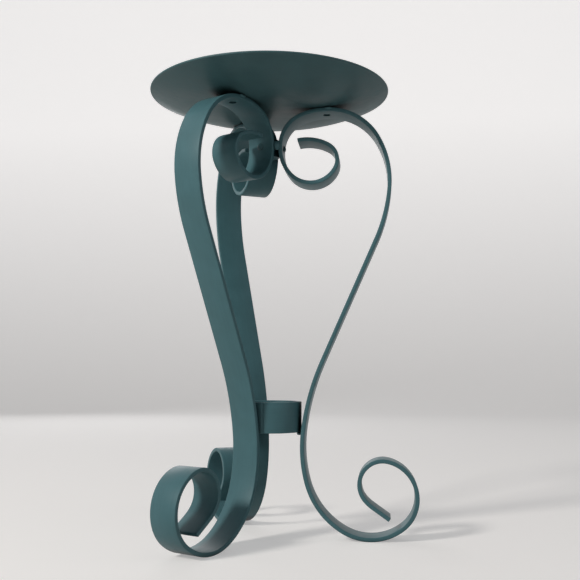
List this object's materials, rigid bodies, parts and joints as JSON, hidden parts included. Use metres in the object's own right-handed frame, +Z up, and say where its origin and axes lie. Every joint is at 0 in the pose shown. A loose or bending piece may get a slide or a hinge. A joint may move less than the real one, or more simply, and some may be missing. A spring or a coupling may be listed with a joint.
{
  "type": "candle stand",
  "caption": "Rigid iron candle stand: scrolled legs of flat strip joined by a waist ring and a hub under a shallow round dished plate for a pillar candle.",
  "frame": {"origin": "the point on the stand's axis in the plane that the three feet rest on", "axes": "+Z up along the stand's axis; +X runs out along one leg, leg_0"},
  "size_m": [0.1362, 0.1368, 0.2264],
  "materials": {
    "strip_paint": "satin hand-applied blue-green paint",
    "plate_paint": "satin hand-applied blue-green paint",
    "rivet_paint": "painted over, a little worn",
    "bead_paint": "painted over"
  },
  "bodies": {
    "root": {"candle_plate": "plate_paint", "waist_ring": "strip_paint", "curl_hub": "strip_paint", "leg_0": "strip_paint", "leg_120": "strip_paint", "leg_240": "strip_paint", "plate_rivet_0": "rivet_paint", "plate_rivet_120": "rivet_paint", "plate_rivet_240": "rivet_paint", "hub_rivet_0": "rivet_paint", "hub_rivet_120": "rivet_paint", "hub_rivet_240": "rivet_paint", "plate_tack_0": "bead_paint", "plate_tack_120": "bead_paint", "plate_tack_240": "bead_paint", "ring_tack_0": "bead_paint", "ring_tack_120": "bead_paint", "ring_tack_240": "bead_paint", "curl_tack_60": "bead_paint", "curl_tack_180": "bead_paint", "curl_tack_300": "bead_paint"}
  },
  "joints": []
}
